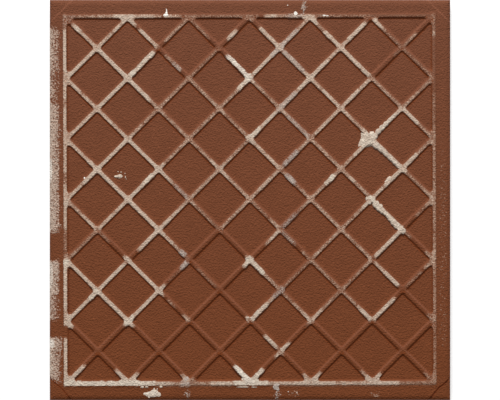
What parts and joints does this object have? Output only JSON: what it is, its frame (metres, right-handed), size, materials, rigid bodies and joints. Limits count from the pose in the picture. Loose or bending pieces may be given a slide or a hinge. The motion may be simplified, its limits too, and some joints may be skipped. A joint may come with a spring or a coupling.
{
  "type": "ceramic tile",
  "caption": "Square pressed red-clay wall tile, stored face down: flat glazed face below, and above it a back with a diamond rib lattice inside a square frame rib.",
  "frame": {"origin": "middle of the glazed face, which lies on the floor", "axes": "+Z out of the ribbed back; X and Y along the tile's edges"},
  "size_m": [0.2, 0.2, 0.0075],
  "materials": {
    "red_clay": "unglazed fired red clay, matt and finely grained, with pale kiln wash on the ribs; glazed on the face below"
  },
  "bodies": {
    "root": {"tile": "red_clay"}
  },
  "joints": []
}
